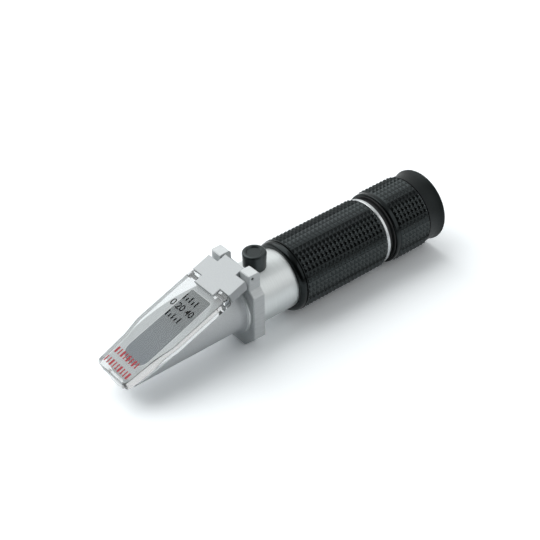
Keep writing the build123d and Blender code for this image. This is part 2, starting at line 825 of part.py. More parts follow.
# Places of the sliding and turning eyepiece parts along the optical axis
focus_travel = focus_lead * focus_turn / 360
barrel_front = ring_front - barrel_start
barrel_rear = eyecup_floor
flange_front = sleeve_rear + focus_travel + open_gap
flange_rear = flange_front + flange_width
web_front = flange_rear + running_gap
web_rear = web_front + collar_web
clip_front = web_rear + running_gap
clip_rear = clip_front + clip_ring_width
eye_ring_rear = barrel_rear - open_gap
eye_ring_front = eye_ring_rear - eye_ring_width
eye_flat = eye_ring_front - seat_gap
eye_edge = eye_flat - lens_edge
field_edge = eye_edge - lens_spacing
field_flat = field_edge - lens_edge
key_front = ring_rear + key_place
key_middle = key_front + key_length / 2
key_floor = -barrel_radius + key_seat

# Lens barrel: sliding tube with a flange, a groove for its clip, a pocket for its key and seats for lenses
with BuildPart() as lens_barrel:
    turned(
        (barrel_front, barrel_stop_bore),
        (barrel_front, barrel_radius),
        (flange_front, barrel_radius),
        (flange_front, flange_radius),
        (flange_rear, flange_radius),
        (flange_rear, barrel_radius),
        (clip_front - seat_gap, barrel_radius),
        (clip_front - seat_gap, barrel_radius - clip_groove),
        (clip_rear + seat_gap, barrel_radius - clip_groove),
        (clip_rear + seat_gap, barrel_radius),
        (barrel_rear, barrel_radius),
        (barrel_rear, lens_seat),
        (field_flat - seat_gap, lens_seat),
        (field_flat - seat_gap, barrel_stop_bore),
    )
    with BuildSketch(level(key_floor, key_middle)):
        Rectangle(key_length + 2 * seat_gap, 2 * (key_half_width + seat_gap))
    extrude(amount=-keyway_depth - key_seat, mode=Mode.SUBTRACT)
save(lens_barrel, "lens_barrel")

# Barrel key: lets the barrel slide in the sleeve's keyway without turning
with BuildPart() as barrel_key:
    with BuildSketch(level(running_gap - sleeve_bore - keyway_depth, key_middle)):
        Rectangle(key_length, 2 * key_half_width)
    extrude(amount=key_floor + sleeve_bore + keyway_depth - running_gap - seat_gap)
save(barrel_key, "barrel_key")

# Barrel clip: spring ring that holds the barrel to the collar's web
with BuildPart() as barrel_clip:
    ring(clip_front, clip_rear, barrel_radius - clip_groove + seat_gap, clip_ring_radius)
save(barrel_clip, "barrel_clip")

# Field lens, spacer, eye lens and its ring, stacked in the barrel
with BuildPart() as field_lens:
    lens(field_flat, field_edge, field_lens_bulge, lens_radius, spacer_bore)
save(field_lens, "field_lens")

with BuildPart() as lens_spacer:
    ring(field_edge + seat_gap, eye_edge - seat_gap, spacer_bore, lens_radius)
save(lens_spacer, "lens_spacer")

with BuildPart() as eye_lens:
    lens(eye_flat, eye_edge, eye_lens_bulge, lens_radius, spacer_bore)
save(eye_lens, "eye_lens")

with BuildPart() as eye_lens_ring:
    ring(eye_ring_front, eye_ring_rear, eye_ring_bore, lens_radius)
save(eye_lens_ring, "eye_lens_ring")

# Focus collar: turns on the sleeve and pushes the barrel with its web
with BuildPart() as focus_collar:
    turned(
        (eyepiece_front, collar_bore),
        (eyepiece_front, collar_lip_radius),
        (rubber_front, collar_lip_radius),
        (rubber_front, collar_outside),
        (web_rear, collar_outside),
        (web_rear, barrel_radius + running_gap),
        (web_front, barrel_radius + running_gap),
        (web_front, collar_bore),
    )
    post(0, collar_outside + 1, guide_radius + seat_gap, groove_centre, Mode.SUBTRACT)
save(focus_collar, "focus_collar")

# Guide screw: grub screw whose tip runs in the sleeve's helical groove
guide_top = collar_outside - running_gap
with BuildPart() as guide_screw:
    post(groove_floor + running_gap, guide_top, guide_radius, groove_centre)
    with BuildSketch(level(guide_top, groove_centre)):
        Rectangle(3 * guide_radius, guide_slot)
    extrude(amount=-guide_slot, mode=Mode.SUBTRACT)
save(guide_screw, "guide_screw")

# Eyepiece rubber: moulded over the collar, with a band, a raised pattern, a waist and the eyecup
eyecup_rim = (eyecup_radius - eyecup_mouth) / 2
waist = (knurl_rear + waist_place, waist_radius)
rim_start = eyecup_rear - eyecup_rim
barrel_hole = barrel_radius + open_gap
clip_hole = clip_ring_radius + open_gap
knurl_plain_radius = knurl_radius - pyramid_height - pyramid_root / 2
with BuildPart() as eyepiece_rubber:
    with BuildSketch(profile_plane()):
        with BuildLine():
            Polyline(
                (rubber_front, collar_outside + seat_gap),
                (rubber_front, eyepiece_band_radius - band_edge),
                (rubber_front + band_edge, eyepiece_band_radius),
                (knurl_front - 2 * band_groove, eyepiece_band_radius),
                (knurl_front - band_groove, eyepiece_band_radius - band_groove),
                (knurl_front, eyepiece_band_radius - band_groove),
                (knurl_front, knurl_plain_radius),
                (knurl_rear, knurl_plain_radius),
                (knurl_rear, eyepiece_band_radius),
            )
            TangentArc(waist, (knurl_rear, eyepiece_band_radius), tangent=(-1, 0))
            TangentArc(waist, (rim_start, eyecup_radius), tangent=(1, 0))
            ThreePointArc(
                (rim_start, eyecup_radius),
                (eyecup_rear, eyecup_radius - eyecup_rim),
                (rim_start, eyecup_mouth),
            )
            Polyline(
                (rim_start, eyecup_mouth),
                (eyecup_floor, eyecup_floor_radius),
                (eyecup_floor, barrel_hole),
                (clip_rear + open_gap, barrel_hole),
                (clip_rear + open_gap, clip_hole),
                (web_rear + seat_gap, clip_hole),
                (web_rear + seat_gap, collar_outside + seat_gap),
                (rubber_front, collar_outside + seat_gap),
            )
        make_face()
    revolve(axis=optical_axis)
    pyramids(knurl_front, knurl_rear, knurl_rows, knurl_columns, knurl_radius)
save(eyepiece_rubber, "eyepiece_rubber")
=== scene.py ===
"""Looks of the hand refractometer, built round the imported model. Lengths are in millimetres."""
import json
from math import cos, pi, radians, sin, tau

import bpy
from mathutils import Matrix, Vector


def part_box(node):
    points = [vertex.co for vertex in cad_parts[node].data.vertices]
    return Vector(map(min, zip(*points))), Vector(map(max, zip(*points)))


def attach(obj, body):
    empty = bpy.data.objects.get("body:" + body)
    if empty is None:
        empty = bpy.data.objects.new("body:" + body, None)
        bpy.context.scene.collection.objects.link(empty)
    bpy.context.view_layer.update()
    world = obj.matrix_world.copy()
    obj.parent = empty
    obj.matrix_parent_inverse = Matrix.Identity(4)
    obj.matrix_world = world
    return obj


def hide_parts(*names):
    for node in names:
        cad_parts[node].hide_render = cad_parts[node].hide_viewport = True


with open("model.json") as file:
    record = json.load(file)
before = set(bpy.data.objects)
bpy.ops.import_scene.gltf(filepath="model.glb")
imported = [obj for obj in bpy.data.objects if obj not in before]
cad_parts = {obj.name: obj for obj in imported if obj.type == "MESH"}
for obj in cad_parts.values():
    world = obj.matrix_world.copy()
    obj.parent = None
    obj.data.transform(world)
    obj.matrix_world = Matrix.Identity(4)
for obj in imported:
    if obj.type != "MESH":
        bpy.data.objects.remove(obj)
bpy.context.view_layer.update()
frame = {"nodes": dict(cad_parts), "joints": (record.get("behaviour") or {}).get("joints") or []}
nodes = frame["nodes"]
MM = 0.001

# Bench and studio
# A white bench under a large soft light from behind the instrument's left shoulder, with a weak light
# from the front right. To the camera, to metal and to glass the bench looks white and keeps the shadow;
# far out it fades to plain white. It throws less light back at the instrument than it shows.
bench_white = "#F4F7F9"
bench_bounce = "#787C80"
bench_gain = 1.3         # lifts the bench to plain white outside the shadow
bench_half = 1500 * MM
bench_drop = 0.02 * MM   # keeps the bench just clear of the instrument's foot
fade_start, fade_end = 180 * MM, 420 * MM
bright_side = Vector((0.42, 0.76, 0.5))
room_tint = "#F3F6F6"
room_dark, room_bright = 0.02, 0.68        # the room as dull surfaces get its light
mirror_dark, mirror_bright = 0.03, 1.05    # the room as shiny surfaces show it
room_turn = -0.75        # where the room starts to brighten, along the bright side's direction
mirror_turn = -0.2
lamp_aim = Vector((20, 0, 15)) * MM
key_place = Vector((-200, 560, 800)) * MM
key_size = 1150 * MM
key_power = 9.0
front_place = Vector((420, -560, 420)) * MM
front_size = 700 * MM
front_power = 1.9


def colour(code):
    """An sRGB hex colour as the linear values that a shader takes."""
    parts = [int(code[i:i + 2], 16) / 255 for i in (1, 3, 5)]
    linear = [c / 12.92 if c <= 0.04045 else ((c + 0.055) / 1.055) ** 2.4 for c in parts]
    return (*linear, 1.0)


def add(tree, kind, settings=None, links=None):
    """Adds one node to a tree: settings are properties or input values, links are sources for inputs."""
    made = tree.nodes.new(kind)
    for name, value in (settings or {}).items():
        if isinstance(name, str) and name.islower():
            setattr(made, name, value)
        else:
            made.inputs[name].default_value = value
    for name, source in (links or {}).items():
        tree.links.new(source, made.inputs[name])
    return made


def new_tree(name):
    """An empty material and its node tree."""
    material = bpy.data.materials.new(name)
    material.use_nodes = True
    material.node_tree.nodes.clear()
    return material, material.node_tree


bench_material, tree = new_tree("bench_paper")
seen = add(tree, "ShaderNodeLightPath")
direct = add(tree, "ShaderNodeMath", {"operation": "MAXIMUM"},
             {0: seen.outputs["Is Camera Ray"], 1: seen.outputs["Is Glossy Ray"]})
direct = add(tree, "ShaderNodeMath", {"operation": "MAXIMUM"},
             {0: direct.outputs[0], 1: seen.outputs["Is Transmission Ray"]})
paper = Vector(colour(bench_white)) * bench_gain
near = add(tree, "ShaderNodeBsdfDiffuse", {"Color": paper})
far = add(tree, "ShaderNodeEmission", {"Strength": 1.0})
spot = add(tree, "ShaderNodeTexCoord")
reach = add(tree, "ShaderNodeVectorMath", {"operation": "LENGTH"}, {0: spot.outputs["Object"]})
fade = add(tree, "ShaderNodeMapRange",
           {"interpolation_type": "SMOOTHSTEP", "From Min": fade_start, "From Max": fade_end},
           {"Value": reach.outputs["Value"]})
white = add(tree, "ShaderNodeMixShader", None, {0: fade.outputs[0], 1: near.outputs[0], 2: far.outputs[0]})
bounce = add(tree, "ShaderNodeBsdfDiffuse", {"Color": colour(bench_bounce)})
either = add(tree, "ShaderNodeMixShader", None,
             {0: direct.outputs[0], 1: bounce.outputs[0], 2: white.outputs[0]})
add(tree, "ShaderNodeOutputMaterial", None, {"Surface": either.outputs[0]})

bench_mesh = bpy.data.meshes.new("bench")
corners = [(x * bench_half, y * bench_half, -bench_drop) for x, y in ((-1, -1), (1, -1), (1, 1), (-1, 1))]
bench_mesh.from_pydata(corners, [], [(0, 1, 2, 3)])
bench_mesh.materials.append(bench_material)
bench = bpy.data.objects.new("bench", bench_mesh)
bpy.context.scene.collection.objects.link(bench)

world = bpy.data.worlds.new("studio")
bpy.context.scene.world = world
world.use_nodes = True
tree = world.node_tree
tree.nodes.clear()
seen = add(tree, "ShaderNodeLightPath")
clear = add(tree, "ShaderNodeMath", {"operation": "MAXIMUM"},
            {0: seen.outputs["Is Camera Ray"], 1: seen.outputs["Is Transmission Ray"]})
place = add(tree, "ShaderNodeTexCoord")
toward = add(tree, "ShaderNodeVectorMath", {"operation": "DOT_PRODUCT", 1: bright_side},
             {0: place.outputs["Generated"]})
room = add(tree, "ShaderNodeMapRange",
           {"From Min": room_turn, "To Min": room_dark, "To Max": room_bright},
           {"Value": toward.outputs["Value"]})
mirrored = add(tree, "ShaderNodeMapRange",
               {"From Min": mirror_turn, "To Min": mirror_dark, "To Max": mirror_bright},
               {"Value": toward.outputs["Value"]})
strength = add(tree, "ShaderNodeMix", None,
               {0: seen.outputs["Is Glossy Ray"], 2: room.outputs[0], 3: mirrored.outputs[0]})
sky = add(tree, "ShaderNodeBackground", {"Color": colour(room_tint)}, {"Strength": strength.outputs[0]})
backdrop = add(tree, "ShaderNodeBackground", {"Color": (1, 1, 1, 1), "Strength": 1.0})
around = add(tree, "ShaderNodeMixShader", None,
             {0: clear.outputs[0], 1: sky.outputs[0], 2: backdrop.outputs[0]})
add(tree, "ShaderNodeOutputWorld", None, {"Surface": around.outputs[0]})


def soft_light(name, place, size, power):
    """A square soft light aimed at the instrument. Clear pieces don't show its shape."""
    lamp = bpy.data.lights.new(name, "AREA")
    lamp.shape = "SQUARE"
    lamp.size = size
    lamp.energy = power
    holder = bpy.data.objects.new(name, lamp)
    holder.location = place
    holder.rotation_euler = (place - lamp_aim).to_track_quat("Z", "Y").to_euler()
    holder.visible_transmission = False
    bpy.context.scene.collection.objects.link(holder)


soft_light("key_light", key_place, key_size, key_power)
soft_light("front_light", front_place, front_size, front_power)
bpy.context.scene.view_settings.view_transform = "Standard"

# Camera
# A long lens that looks down on the instrument from the front left, as in the photograph, with a very
# slight roll.
camera_place = Vector((-255.39, -333.43, 357.50)) * MM
camera_azimuth = radians(-39.228)
camera_elevation = radians(37.899)
camera_roll = radians(-0.902)
camera_lens = 93.483

back = Vector((
    sin(camera_azimuth) * cos(camera_elevation),
    -cos(camera_azimuth) * cos(camera_elevation),
    sin(camera_elevation),
))
level_right = Vector((0, 0, 1)).cross(back).normalized()
level_up = back.cross(level_right)
right = level_right * cos(camera_roll) + level_up * sin(camera_roll)
up = level_up * cos(camera_roll) - level_right * sin(camera_roll)
camera_data = bpy.data.cameras.new("camera")
camera_data.sensor_width = 36
camera_data.lens = camera_lens
camera_data.clip_start = 10 * MM
camera = bpy.data.objects.new("camera", camera_data)
camera.matrix_world = Matrix.Translation(camera_place) @ Matrix((right, up, back)).transposed().to_4x4()
bpy.context.scene.collection.objects.link(camera)
bpy.context.scene.camera = camera

# Body tube
# Drawn aluminium tube, turned, blasted and clear anodised: pale grey with broad soft highlights and very
# faint turning marks, drawn coarser than the real 0.1 mm ones so that they show.
tube_greys = "#D0D4D4", "#D6DADA"
turning_pitch = 0.45
turned_round = (1, 0.04, 0.04)


def grain(tree, size, low, high, stretch=(1, 1, 1)):
    """Uneven roughness between two values. A stretch below 1 draws the grain out along that axis."""
    place = add(tree, "ShaderNodeTexCoord")
    drawn = add(tree, "ShaderNodeVectorMath", {"operation": "MULTIPLY", 1: stretch},
                {0: place.outputs["Object"]})
    noise = add(tree, "ShaderNodeTexNoise", {"Scale": 1 / (size * MM), "Detail": 3.0},
                {"Vector": drawn.outputs[0]})
    spread = add(tree, "ShaderNodeMapRange",
                 {"From Min": 0.3, "From Max": 0.7, "To Min": low, "To Max": high},
                 {"Value": noise.outputs["Fac"]})
    return noise, spread


def surface(name, codes, metallic, rough, grain_size, depth, stretch=(1, 1, 1), **extra):
    """A material with a fine grain between two colours, in its gloss and in its relief."""
    material, tree = new_tree(name)
    noise, spread = grain(tree, grain_size, *rough, stretch)
    share = add(tree, "ShaderNodeMapRange", {"From Min": 0.35, "From Max": 0.65},
                {"Value": noise.outputs["Fac"]})
    # A mix of colours takes its two colours at inputs 6 and 7.
    tone = add(tree, "ShaderNodeMix", {"data_type": "RGBA", 6: colour(codes[0]), 7: colour(codes[1])},
               {0: share.outputs[0]})
    relief = add(tree, "ShaderNodeBump", {"Distance": depth * MM, "Strength": 1.0},
                 {"Height": noise.outputs["Fac"]})
    shader = add(tree, "ShaderNodeBsdfPrincipled", {"Metallic": metallic, **extra},
                 {"Base Color": tone.outputs[2], "Roughness": spread.outputs[0], "Normal": relief.outputs[0]})
    add(tree, "ShaderNodeOutputMaterial", None, {"Surface": shader.outputs[0]})
    return material


def dress(node, material):
    """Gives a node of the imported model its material."""
    mesh = nodes[node].data
    mesh.materials.clear()
    mesh.materials.append(material)


satin_anodised = surface("satin_anodised_aluminium", tube_greys, metallic=0.7, rough=(0.4, 0.46),
                         grain_size=turning_pitch, depth=0.002, stretch=turned_round)
dress("body_tube", satin_anodised)

# Hinge bracket
# Aluminium plate round the front of the tube, milled and clear anodised. It looks flatter than the tube,
# with fine cutter marks.
bracket_greys = "#CCD0D1", "#DADEDF"
cutter_pitch = 0.3
milled_along = (0.05, 1, 1)
milled_anodised = surface("milled_anodised_aluminium", bracket_greys, metallic=0.2, rough=(0.4, 0.58),
                          grain_size=cutter_pitch, depth=0.004, stretch=milled_along)
dress("hinge_bracket", milled_anodised)

# Hinge pin, lid screws, clips and other small steel pieces
# Ground and turned steel: darker than the aluminium, with a tighter highlight. The hinge pin's steel is
# painted near black as painted shade, standing in for the shade in the pin holes, so that its ends show as
# dark dots in the lugs.
steel_greys = "#8A8E90", "#969A9C"
ground_steel = surface("ground_steel", steel_greys, metallic=1.0, rough=(0.22, 0.34),
                       grain_size=0.3, depth=0.002)
for name in ("lid_screws", "calibration_screw", "screw_clip", "strip_screws", "barrel_clip", "guide_screw"):
    dress(name, ground_steel)
# Painted shade: the pin's near-black colour stands in for the shade in its holes in the lugs.
pin_shade_greys = "#26292A", "#323536"
pin_steel_painted_shade = surface("pin_steel_painted_shade", pin_shade_greys, metallic=0.8, rough=(0.3, 0.4),
                          grain_size=0.3, depth=0.002)
dress("hinge_pin", pin_steel_painted_shade)

# Prism housing
# Turned aluminium nose, cut off on the slant, bead blasted and anodised. Its spigot is pushed into the
# tube. It looks matt, with an even soft shading.
housing_greys = "#DADEE0", "#E4E8EA"
blasted_anodised = surface("blasted_anodised_aluminium", housing_greys, metallic=0.15, rough=(0.6, 0.7),
                           grain_size=0.35, depth=0.006)
dress("prism_housing", blasted_anodised)

# Prism and its seal
# Optical glass block over a dark chamber, cemented into the housing: its face looks grey near the hinge
# and bluer towards the tip, in a thin frame of pale cement.
prism_rear_grey = "#6F7878"
prism_front_blue = "#697783"
seal_greys = "#EEF1F2", "#F6F8F9"
prism_low, prism_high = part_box("prism")
polished_glass, tree = new_tree("polished_prism_glass")
place = add(tree, "ShaderNodeTexCoord")
along = add(tree, "ShaderNodeSeparateXYZ", None, {0: place.outputs["Object"]})
share = add(tree, "ShaderNodeMapRange", {"From Min": prism_low.x, "From Max": prism_high.x},
            {"Value": along.outputs["X"]})
blend = add(tree, "ShaderNodeMix",
            {"data_type": "RGBA", 6: colour(prism_front_blue), 7: colour(prism_rear_grey)},
            {0: share.outputs[0]})
shader = add(tree, "ShaderNodeBsdfPrincipled", {"Roughness": 0.32, "IOR": 1.52, "Specular IOR Level": 0.2},
             {"Base Color": blend.outputs[2]})
add(tree, "ShaderNodeOutputMaterial", None, {"Surface": shader.outputs[0]})
dress("prism", polished_glass)
pale_cement = surface("pale_cement", seal_greys, metallic=0.0, rough=(0.5, 0.6),
                      grain_size=0.3, depth=0.01)
dress("prism_seal", pale_cement)

# Hinge block
# Milled aluminium cross that turns on the pin, bead blasted and clear anodised: the palest and flattest
# of the metal pieces.
block_greys = "#B9BDBF", "#C2C6C7"
blasted_pale = surface("pale_blasted_aluminium", block_greys, metallic=0.2, rough=(0.55, 0.65),
                       grain_size=0.3, depth=0.006)
dress("hinge_block", blasted_pale)

# Daylight plate
# Moulded and flame-polished acrylic, almost 4 mm thick, screwed to the hinge block: it bends the view of
# the prism and lights up at its edges. It lets the lamps light what lies under it.
acrylic_tint = "#D6D8D8"
clear_acrylic, tree = new_tree("clear_acrylic")
shader = add(tree, "ShaderNodeBsdfPrincipled",
             {"Base Color": colour(acrylic_tint), "Roughness": 0.02, "IOR": 1.49, "Transmission Weight": 1.0,
              "Specular IOR Level": 0.25})
open_way = add(tree, "ShaderNodeBsdfTransparent", {"Color": colour(acrylic_tint)})
seen = add(tree, "ShaderNodeLightPath")
lit = add(tree, "ShaderNodeMixShader", None,
          {0: seen.outputs["Is Shadow Ray"], 1: shader.outputs[0], 2: open_way.outputs[0]})
add(tree, "ShaderNodeOutputMaterial", None, {"Surface": lit.outputs[0]})
dress("daylight_plate", clear_acrylic)

# Print on the daylight plate
# Screen-printed marks on the plate's upper face: a plain scale in black and two rows of plain bars in
# red, all flat and dull. Rows are placed by their distance from the hinge axis, down the plate.
incline = radians(20.2)
plate_top = 1.05         # plate's upper face above the hinge axis
print_lift = 0.01
print_rise = plate_top + print_lift
print_thickness = 0.012
numeral_row = 27.4
numeral_height = 2.9
cap_share = 0.69         # height of a numeral as a share of the letters' size
stroke_gain = 0.05       # the ink spreads a little past the letters' outlines
row_pitch = 4.5
tick_pitch, tick_width = 1.7, 0.62
short_tick, long_tick = 1.7, 2.8
rear_bars_row, front_bars_row = 52.2, 57.2
rear_bars_pitch, front_bars_pitch = 1.75, 1.7
rear_bars_start, front_bars_start = -6.1, -6.9
bar_height = 2.8
narrow_bar, wide_bar, widest_bar = 0.6, 1.0, 1.05
hinge = Vector(next(j for j in frame["joints"] if j["name"] == "lid_hinge")["pos_m"])
up_slope = Vector((cos(incline), 0, sin(incline)))
off_slope = Vector((-sin(incline), 0, cos(incline)))


def ink(name, code):
    """Printing ink: one flat colour with an uneven satin finish."""
    material, tree = new_tree(name)
    _, spread = grain(tree, size=0.5, low=0.6, high=0.7)
    shader = add(tree, "ShaderNodeBsdfPrincipled", {"Base Color": colour(code), "Specular IOR Level": 0.15},
                 {"Roughness": spread.outputs[0]})
    add(tree, "ShaderNodeOutputMaterial", None, {"Surface": shader.outputs[0]})
    return material


def on_plate(name, mesh, material):
    """Lays a printed shape on the plate, in its ink."""
    mesh.materials.clear()
    mesh.materials.append(material)
    made = bpy.data.objects.new(name, mesh)
    bpy.context.scene.collection.objects.link(made)
    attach(made, "lid")


def printed(name, faces, ahead, material, reversed_way=False):
    """Thin printed shapes on the plate. Their outlines run x along the line and y up the letters."""
    across = Vector((0, 1, 0)) if reversed_way else Vector((0, -1, 0))
    rising = -up_slope if reversed_way else up_slope
    base = hinge - up_slope * ahead * MM + off_slope * print_rise * MM
    points, polygons = [], []
    for outline in faces:
        first = len(points)
        count = len(outline)
        for lift in (0, print_thickness):
            points += [base + (across * x + rising * y + off_slope * lift) * MM for x, y in outline]
        polygons.append(tuple(range(first + count, first + 2 * count)))
        polygons.append(tuple(reversed(range(first, first + count))))
        for i in range(count):
            k = (i + 1) % count
            polygons.append((first + i, first + k, first + count + k, first + count + i))
    mesh = bpy.data.meshes.new(name)
    mesh.from_pydata(points, [], polygons)
    on_plate(name, mesh, material)


def bar(x, y, width, height):
    """Outline of an upright bar, given by its lower middle."""
    return [(x - width / 2, y), (x + width / 2, y), (x + width / 2, y + height), (x - width / 2, y + height)]


black_ink = ink("black_ink", "#060707")
red_ink = ink("red_ink", "#B04A50")


def numerals(name, text, ahead, height, material):
    """Plain numerals across the plate, their tops towards the hinge."""
    letters = bpy.data.curves.new(name, "FONT")
    letters.body = text
    letters.size = height / cap_share * MM
    letters.align_x = "CENTER"
    letters.extrude = print_thickness * MM / 2
    letters.offset = stroke_gain * MM
    lettered = bpy.data.objects.new(name + "_letters", letters)
    mesh = bpy.data.meshes.new_from_object(lettered)
    bpy.data.objects.remove(lettered)
    turn = Matrix((Vector((0, -1, 0)), up_slope, off_slope)).transposed().to_4x4()
    base = hinge - up_slope * ahead * MM + off_slope * (print_rise + print_thickness / 2) * MM
    mesh.transform(Matrix.Translation(base) @ turn)
    on_plate(name, mesh, material)


scale_ticks = [bar(tick_pitch * (i - 2), 0, tick_width, short_tick if i % 2 else long_tick) for i in range(5)]
printed("upper_scale_ticks", scale_ticks, numeral_row - row_pitch, black_ink)
numerals("scale_numerals", "0 20 40", numeral_row, numeral_height, black_ink)
printed("lower_scale_ticks", scale_ticks, numeral_row + row_pitch, black_ink)
rear_bars = [bar(rear_bars_start + rear_bars_pitch * i, 0, wide_bar if i % 2 else narrow_bar, bar_height)
             for i in range(8)]
front_bars = [bar(front_bars_start + front_bars_pitch * i, 0, narrow_bar if i % 3 else widest_bar, bar_height)
              for i in range(9)]
printed("red_bars_rear", rear_bars, rear_bars_row, red_ink, True)
printed("red_bars_front", front_bars, front_bars_row, red_ink, True)

# Calibration boss, adjusting block, bimetal strip and barrel key
# Machined brass: warm yellow with fine turning marks. The boss goes through the tube's wall and shows
# when the cap is off.
brass_yellows = "#B09254", "#BE9F61"
turned_brass = surface("turned_brass", brass_yellows, metallic=1.0, rough=(0.28, 0.4),
                       grain_size=0.3, depth=0.002)
for name in ("calibration_boss", "adjusting_block", "bimetal_strip", "barrel_key"):
    dress(name, turned_brass)

# Calibration cap
# Moulded rubber cap, satin black, pushed over the boss. Its shallow dish and its rounded edge catch a
# soft light.
cap_blacks = "#040505", "#070808"
rubber_sheen = "#E0F0F2"  # slightly cool, on all the rubber, whose highlights aren't quite neutral
cap_rubber = surface("satin_moulded_rubber", cap_blacks, metallic=0.0, rough=(0.28, 0.36),
                     grain_size=0.6, depth=0.006,
                     **{"Specular IOR Level": 0.6, "Specular Tint": colour(rubber_sheen)})
dress("calibration_cap", cap_rubber)

# Baffle, cells, holders, sleeve, barrel and collar
# Black anodised and black moulded inner pieces: dull, so that no stray light reaches the eye. The
# sleeve's end shows as the black neck between the end ring and the eyepiece.
inner_blacks = "#101213", "#161819"
dull_black = surface("dull_black_plastic", inner_blacks, metallic=0.0, rough=(0.4, 0.55),
                     grain_size=0.4, depth=0.004)
for name in ("light_baffle", "objective_cell", "objective_ring", "reticle_holder", "reticle_lock_ring",
             "focus_sleeve", "lens_barrel", "lens_spacer", "eye_lens_ring", "focus_collar"):
    dress(name, dull_black)

# Lenses and reticle
# Polished optical glass with a coating against glare: the eye lens sits dark in the eyecup, with a
# faint blue cast.
glass_tint = "#EEF3F4"
coating_blue = "#A9BCEB"
lens_glass, tree = new_tree("coated_lens_glass")
shader = add(tree, "ShaderNodeBsdfPrincipled",
             {"Base Color": colour(glass_tint), "Roughness": 0.01, "IOR": 1.52, "Transmission Weight": 1.0,
              "Specular IOR Level": 0.12, "Specular Tint": colour(coating_blue)})
add(tree, "ShaderNodeOutputMaterial", None, {"Surface": shader.outputs[0]})
for name in ("objective_lens", "field_lens", "eye_lens", "reticle"):
    dress(name, lens_glass)

# Grip
# Moulded black rubber sleeve, pulled over the tube: forty columns of square pyramids behind a smooth
# rounded band. Handled rubber shines a little on the tops, and the deep grooves look black: partly from their
# own shade, partly from painted shade, a darker colour low in the grooves.
grip_low, grip_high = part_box("rubber_grip")
axis_height = (grip_low.z + grip_high.z) / 2
grip_crest = (grip_high.z - grip_low.z) / 2 / MM
grip_groove = 0.8        # a little deeper than in the solid, so that the grooves read as dark
grip_valley = grip_crest - grip_groove
grip_inner = 12.55
grip_band = 3.4
grip_lip = 13.35
lip_round = 1.9
band_drop = 0.2          # rounded band's top below the pyramids' tops
band_rise = 0.05
ring_groove = 0.5        # plain groove round the grip, between the band and a plain ring
ring_groove_front = 1.05
ring_groove_rear = 0.8
groove_wall = 0.2
ring_width = 0.3
rear_margin = 0.35
grip_rows = 21
grip_columns = 40
groove_share = 0.08      # flat bottom of a groove, as a share of a pyramid's pitch
top_share = 0.14         # flat top of a pyramid, likewise
sharp_angle = radians(24)
groove_rough, top_rough = 0.24, 0.16
# groove colour: painted shade, darker than the tops, for the shade between the pyramids
groove_painted_shade, top_black = "#020202", "#090B0B"
band_blacks = "#040505", "#070808"
smooth_rubber = surface("smooth_moulded_rubber", band_blacks, metallic=0.0, rough=(0.18, 0.24),
                        grain_size=0.5, depth=0.003,
                        **{"Specular IOR Level": 0.29, "Specular Tint": colour(rubber_sheen)})
eyecup_blacks = "#060707", "#090A0A"
satin_rubber = surface("satin_eyecup_rubber", eyecup_blacks, metallic=0.0, rough=(0.45, 0.55),
                       grain_size=0.5, depth=0.004,
                       **{"Specular IOR Level": 0.27, "Specular Tint": colour(rubber_sheen)})


def pyramid_rubber(name, valley, crest):
    """Black rubber whose pyramid tops are polished by handling and whose grooves stay dull and darker, with
    painted shade: the colour darkens from the tops down into the grooves.
    """
    material, tree = new_tree(name)
    place = add(tree, "ShaderNodeTexCoord")
    centred = add(tree, "ShaderNodeVectorMath", {"operation": "SUBTRACT", 1: (0, 0, axis_height)},
                  {0: place.outputs["Object"]})
    across = add(tree, "ShaderNodeVectorMath", {"operation": "MULTIPLY", 1: (0, 1, 1)},
                 {0: centred.outputs[0]})
    radius = add(tree, "ShaderNodeVectorMath", {"operation": "LENGTH"}, {0: across.outputs[0]})
    height = add(tree, "ShaderNodeMapRange", {"From Min": valley * MM, "From Max": crest * MM},
                 {"Value": radius.outputs["Value"]})
    gloss = add(tree, "ShaderNodeMapRange", {"To Min": groove_rough, "To Max": top_rough},
                {"Value": height.outputs[0]})
    # painted shade: the colour darkens with depth towards the grooves
    shade = add(tree, "ShaderNodeMix", {"data_type": "RGBA", 6: colour(groove_painted_shade), 7: colour(top_black)},
                {0: height.outputs[0]})
    shader = add(tree, "ShaderNodeBsdfPrincipled",
                 {"Specular IOR Level": 0.46, "Specular Tint": colour(rubber_sheen)},
                 {"Base Color": shade.outputs[2], "Roughness": gloss.outputs[0]})
    add(tree, "ShaderNodeOutputMaterial", None, {"Surface": shader.outputs[0]})
    return material


grip_rubber = pyramid_rubber("grip_moulded_rubber", grip_valley, grip_crest)


def ramps(cells):
    """Places along a row of pyramids, in cells, and the height at each: 0 in a groove, 1 on a top."""
    for cell in range(cells):
        yield cell + groove_share / 2, 0
        yield cell + (1 - top_share) / 2, 1
        yield cell + (1 + top_share) / 2, 1
        yield cell + 1 - groove_share / 2, 0


